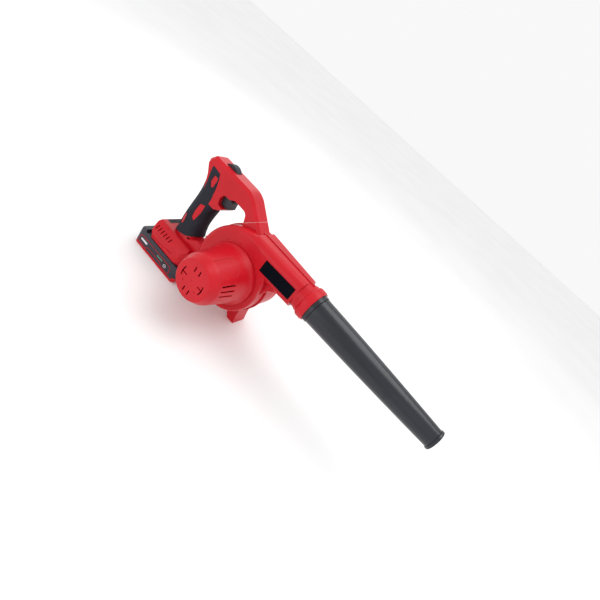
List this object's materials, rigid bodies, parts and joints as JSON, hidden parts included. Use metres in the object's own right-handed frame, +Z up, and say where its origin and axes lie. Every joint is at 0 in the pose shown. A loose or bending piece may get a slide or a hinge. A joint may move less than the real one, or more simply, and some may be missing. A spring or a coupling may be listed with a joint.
{
  "type": "leaf blower",
  "caption": "Compact cordless leaf blower with a D-shaped handle, round fan volute, side motor barrel, tapered black nozzle and slide-on battery pack.",
  "frame": {"origin": "Centre of the flat underside of the battery pack, on the surface the blower stands on.", "axes": "+X runs forward along the nozzle, +Y is the left (air inlet) side, +Z is up; the motor barrel is on -Y."},
  "size_m": [0.5155, 0.1554, 0.198],
  "materials": {
    "red_plastic": "semi-gloss moulded ABS",
    "black_plastic": "fine textured moulding",
    "nozzle_black": "satin polypropylene",
    "grip_rubber": "matte overmould",
    "steel": "zinc plated",
    "brass": "contact metal",
    "motor_steel": "drawn can",
    "fan_plastic": "glass filled nylon",
    "board_green": "soldermask",
    "cell_wrap": "heat shrink sleeve",
    "silver_print": "printed",
    "lamp_green": "translucent lens"
  },
  "bodies": {
    "housing": {"handle_shell_right": "red_plastic", "handle_shell_left": "red_plastic", "grip_rubber_right": "grip_rubber", "grip_rubber_left": "grip_rubber", "volute_shell_right": "red_plastic", "volute_shell_left": "red_plastic", "outlet_collar": "red_plastic", "outlet_gasket": "grip_rubber", "motor_housing": "red_plastic", "motor_end_cap": "red_plastic", "intake_grille": "black_plastic", "badge_plate": "black_plastic", "vent_grille": "black_plastic", "switch_body": "black_plastic", "speed_sensor": "black_plastic", "control_board": "board_green", "terminal_block": "black_plastic", "terminal_blades": "brass", "motor_can": "motor_steel", "motor_end_bell": "black_plastic", "motor_magnets": "motor_steel", "motor_bearings": "steel", "motor_screws": "steel", "volute_screws": "steel", "handle_screws": "steel", "supply_leads": "black_plastic", "motor_leads": "black_plastic", "grille_screws": "steel"},
    "trigger": {"trigger": "black_plastic", "trigger_spring": "steel"},
    "speed_dial": {"speed_dial": "black_plastic"},
    "rotor": {"motor_shaft": "steel", "motor_armature": "motor_steel", "cooling_fan": "fan_plastic", "impeller": "fan_plastic", "impeller_nut": "steel"},
    "nozzle": {"nozzle_tube": "nozzle_black", "nozzle_tip_ring": "nozzle_black"},
    "lock_ring": {"nozzle_lock_ring": "nozzle_black"},
    "battery": {"battery_case": "black_plastic", "battery_base": "red_plastic", "battery_cells": "cell_wrap", "cell_holders": "black_plastic", "battery_board": "board_green", "battery_terminals": "brass", "battery_trim": "red_plastic", "battery_badge": "silver_print", "gauge_lamps": "lamp_green", "latch_spring": "steel"},
    "battery_latch": {"battery_latch": "black_plastic"},
    "gauge_button": {"gauge_button": "silver_print"}
  },
  "joints": [
    {"name": "trigger_pull", "type": "slide", "parent": "housing", "child": "trigger", "axis": [-1, 0, 0], "range_m": [0, 0.006], "stiffness_N_per_m": 900, "springref_m": -0.0025, "deforming": ["trigger_spring"]},
    {"name": "speed_dial_turn", "type": "hinge", "parent": "housing", "child": "speed_dial", "pos_m": [0.0125, 0, 0.184], "axis": [0, 1, 0], "range_deg": [-135, 135]},
    {"name": "rotor_spin", "type": "hinge", "parent": "housing", "child": "rotor", "pos_m": [0.113, 0, 0.086], "axis": [0, 1, 0], "continuous": true},
    {"name": "nozzle_slide", "type": "slide", "parent": "housing", "child": "nozzle", "axis": [1, 0, 0], "range_m": [0, 0.06]},
    {"name": "lock_ring_turn", "type": "hinge", "parent": "nozzle", "child": "lock_ring", "pos_m": [0.23, 0, 0.1377], "axis": [1, 0, 0], "range_deg": [0, 30]},
    {"name": "battery_slide", "type": "slide", "parent": "housing", "child": "battery", "axis": [-1, 0, 0], "range_m": [0, 0.105]},
    {"name": "latch_press", "type": "slide", "parent": "battery", "child": "battery_latch", "axis": [0, 0, -1], "range_m": [0, 0.0025], "stiffness_N_per_m": 1500, "springref_m": -0.002, "deforming": ["latch_spring"]},
    {"name": "gauge_press", "type": "slide", "parent": "battery", "child": "gauge_button", "axis": [0, 1, 0], "range_m": [0, 0.0008], "stiffness_N_per_m": 900, "springref_m": -0.0005}
  ]
}
